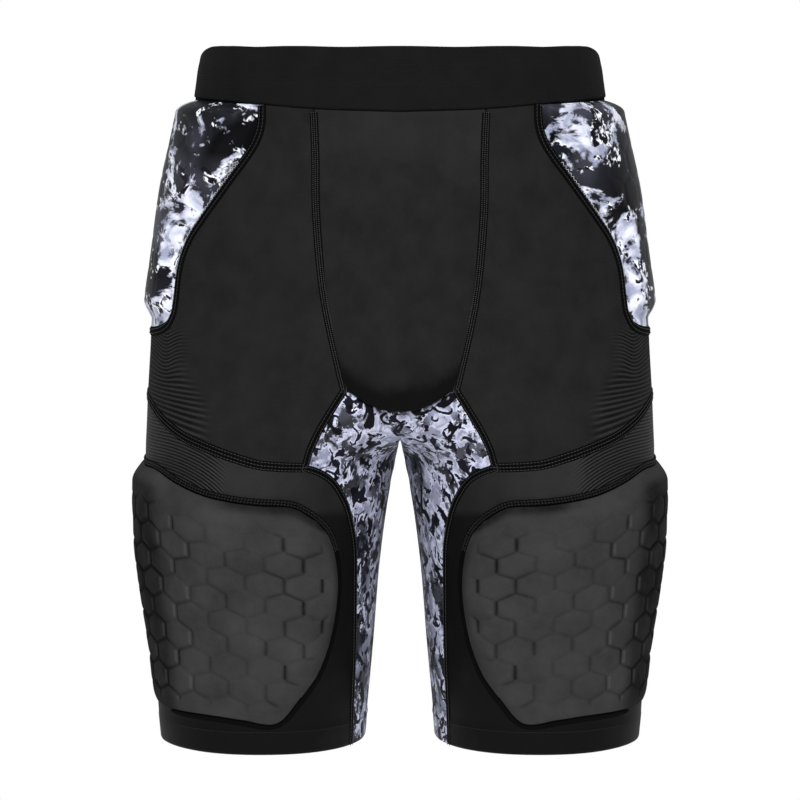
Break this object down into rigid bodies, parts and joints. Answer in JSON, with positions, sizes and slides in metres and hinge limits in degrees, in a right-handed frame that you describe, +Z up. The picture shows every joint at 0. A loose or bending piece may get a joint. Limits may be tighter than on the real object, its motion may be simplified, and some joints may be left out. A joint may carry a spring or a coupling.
{
  "type": "padded compression shorts",
  "caption": "Tight knee-length shorts with foam hip pads, moulded thigh pads, a wide elastic waistband and an open waist and legs, kept in their worn form.",
  "frame": {"origin": "centre of the waistband's top edge", "axes": "+Z up towards the wearer's waist, -Y the front, +X the wearer's left"},
  "size_m": [0.3654, 0.2411, 0.4692],
  "materials": {
    "elastic": "matt woven elastic",
    "pouch_knit": "matt knit",
    "knit": "matt compression knit",
    "print": "smooth printed cover cloth",
    "inner_print": "printed knit",
    "foam": "closed-cell foam",
    "pad_cover": "brushed cover moulded to foam",
    "thread": "flat seam thread"
  },
  "bodies": {
    "root": {"waistband": "elastic", "centre_panel": "pouch_knit", "front_panel_left": "knit", "front_panel_right": "knit", "seat_panel_left": "knit", "seat_panel_right": "knit", "hip_panel_left": "print", "hip_panel_right": "print", "hip_pad_left": "foam", "hip_pad_right": "foam", "gusset": "inner_print", "leg_panel_left": "knit", "leg_panel_right": "knit", "thigh_pad_left": "pad_cover", "thigh_pad_right": "pad_cover", "fly_seam_left": "thread", "fly_seam_right": "thread", "hip_binding_left": "thread", "hip_binding_right": "thread", "leg_seam_left": "thread", "leg_seam_right": "thread", "inner_leg_seam_left": "thread", "inner_leg_seam_right": "thread", "back_leg_seam_left": "thread", "back_leg_seam_right": "thread"}
  },
  "joints": []
}
